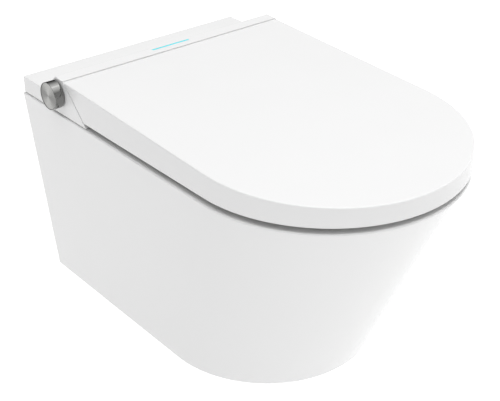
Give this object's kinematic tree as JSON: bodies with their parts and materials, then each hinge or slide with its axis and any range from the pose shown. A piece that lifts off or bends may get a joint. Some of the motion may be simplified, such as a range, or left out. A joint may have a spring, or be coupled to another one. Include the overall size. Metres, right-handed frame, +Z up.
{
  "type": "wall-hung shower toilet with electric bidet seat",
  "caption": "Wall-hung ceramic pan with a D-shaped electric bidet seat: low rear housing, light bar, soft-close lid and seat, spun metal side knob.",
  "frame": {"origin": "on the wall plane, midway between the two wall stud holes", "axes": "+Y into the wall, -Y to the front, +Z up, +X to the right seen from the front"},
  "size_m": [0.3968, 0.612, 0.3598],
  "materials": {
    "glazed_ceramic": "gloss",
    "white_gloss_plastic": "gloss",
    "white_matte_plastic": "satin",
    "black_plastic": "matte",
    "nylon": "matte",
    "rubber_grey": "matte",
    "steel": "satin",
    "chrome_rim": "polished",
    "spun_steel": "spun",
    "brass": "satin",
    "circuit_board": "solder mask",
    "heater_case": "satin",
    "heating_foil": "foil",
    "light_bar": "lit diffuser"
  },
  "bodies": {
    "pan": {"ceramic_pan": "glazed_ceramic", "stud_bushes": "nylon", "mounting_plate": "black_plastic", "plate_bolts": "steel", "plate_washers": "nylon", "plate_nuts": "nylon"},
    "unit": {"base_tray": "white_matte_plastic", "top_cover": "white_gloss_plastic", "casing_screws": "steel", "lid_damper": "black_plastic", "seat_damper": "black_plastic", "knob_encoder": "black_plastic", "wand_guide": "white_matte_plastic", "wand_motor": "black_plastic", "water_inlet": "brass", "inlet_valve": "black_plastic", "water_heater": "heater_case", "water_pump": "black_plastic", "control_board": "circuit_board", "power_module": "black_plastic", "led_bar": "light_bar", "led_board": "circuit_board", "cable_gland": "black_plastic", "odour_filter": "black_plastic", "dryer_blower": "black_plastic", "dryer_duct": "white_matte_plastic"},
    "seat": {"seat_upper": "white_gloss_plastic", "seat_lower": "white_matte_plastic", "seat_heater": "heating_foil", "seat_buffers": "rubber_grey", "seat_rotor": "steel"},
    "lid": {"lid_shell": "white_gloss_plastic", "lid_liner": "white_matte_plastic", "lid_buffers": "rubber_grey", "lid_rotor": "steel"},
    "knob_slide": {"knob_bush": "black_plastic"},
    "knob": {"knob_rim": "chrome_rim", "knob_face": "spun_steel", "knob_stem": "steel", "knob_screw": "steel"},
    "wand_stage": {"wand_outer": "white_matte_plastic"},
    "wand_head": {"wand_inner": "steel", "wand_tip": "white_matte_plastic"},
    "flap": {"dryer_flap": "white_gloss_plastic"},
    "impeller": {"dryer_impeller": "black_plastic"},
    "release": {"release_button": "white_gloss_plastic", "release_latch": "black_plastic"}
  },
  "joints": [
    {"name": "unit_release", "type": "slide", "parent": "pan", "child": "unit", "axis": [0, -1, 0], "range_m": [0, 0.04]},
    {"name": "seat_hinge", "type": "hinge", "parent": "unit", "child": "seat", "pos_m": [0, -0.1, 0.117], "axis": [1, 0, 0], "range_deg": [-95, 0]},
    {"name": "lid_hinge", "type": "hinge", "parent": "seat", "child": "lid", "pos_m": [0, -0.1, 0.117], "axis": [-1, 0, 0], "range_deg": [0, 97]},
    {"name": "knob_press", "type": "slide", "parent": "unit", "child": "knob_slide", "axis": [1, 0, 0], "range_m": [0, 0.0012], "stiffness_N_per_m": 1200, "springref_m": -0.002},
    {"name": "knob_turn", "type": "hinge", "parent": "knob_slide", "child": "knob", "pos_m": [-0.198, -0.096, 0.107], "axis": [-1, 0, 0], "continuous": true},
    {"name": "wand_extend", "type": "slide", "parent": "unit", "child": "wand_stage", "axis": [0, -0.9613, -0.2756], "range_m": [0, 0.056]},
    {"name": "wand_second", "type": "slide", "parent": "wand_stage", "child": "wand_head", "axis": [0, -0.9613, -0.2756], "range_m": [0, 0.054]},
    {"name": "flap_swing", "type": "hinge", "parent": "unit", "child": "flap", "pos_m": [0.044, -0.14238, 0.0965], "axis": [-1, 0, 0], "range_deg": [0, 40]},
    {"name": "fan_spin", "type": "hinge", "parent": "unit", "child": "impeller", "pos_m": [0.08, -0.035, 0.088], "axis": [0, 0, 1], "continuous": true},
    {"name": "release_press", "type": "slide", "parent": "unit", "child": "release", "axis": [-1, 0, 0], "range_m": [0, 0.003], "stiffness_N_per_m": 600, "springref_m": -0.003}
  ],
  "couplings": [
    {"joint": "wand_second", "follows": "wand_extend", "ratio": 0.96}
  ]
}
